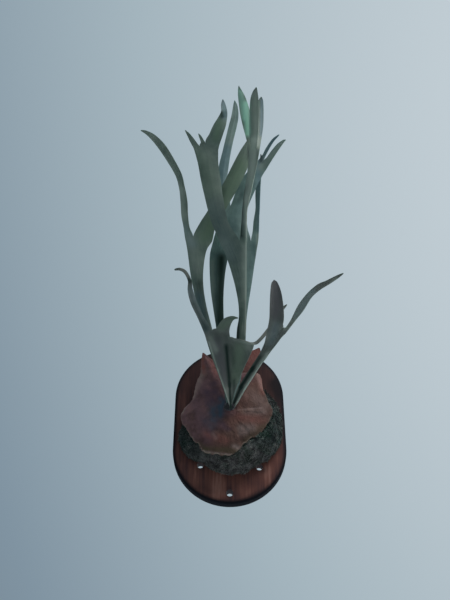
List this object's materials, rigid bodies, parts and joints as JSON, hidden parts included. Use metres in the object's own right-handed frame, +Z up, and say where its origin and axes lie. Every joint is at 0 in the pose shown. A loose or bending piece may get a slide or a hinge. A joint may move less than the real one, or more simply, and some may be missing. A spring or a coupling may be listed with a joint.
{
  "type": "mounted staghorn fern",
  "caption": "Staghorn fern on a stadium-shaped wooden board: forked upright antler fronds grow from a papery shield frond over a moss root ball.",
  "frame": {"origin": "middle of the board's flat back face", "axes": "+X to the right as seen from the front, +Y out of the board's back towards the wall, +Z up along the board"},
  "size_m": [0.3747, 0.3537, 0.7868],
  "materials": {
    "board_wood": "satin, dark red-brown stain, vertical grain, darker bevelled rim",
    "moss": "matt, dark green tufted moss with dry grey-green ends",
    "shield_frond": "matt, dry brown papery frond with raised veins and pale edges",
    "crown": "matt, brown fur",
    "green_frond": "matt, leathery grey-green with a fine silvery felt"
  },
  "bodies": {
    "root": {"mounting_board": "board_wood", "moss_root_ball": "moss", "shield_frond_front": "shield_frond", "shield_frond_back": "shield_frond", "crown_bud": "crown", "frond_left": "green_frond", "frond_short": "green_frond", "frond_right": "green_frond", "frond_front": "green_frond", "frond_side": "green_frond", "frond_back": "green_frond"}
  },
  "joints": []
}
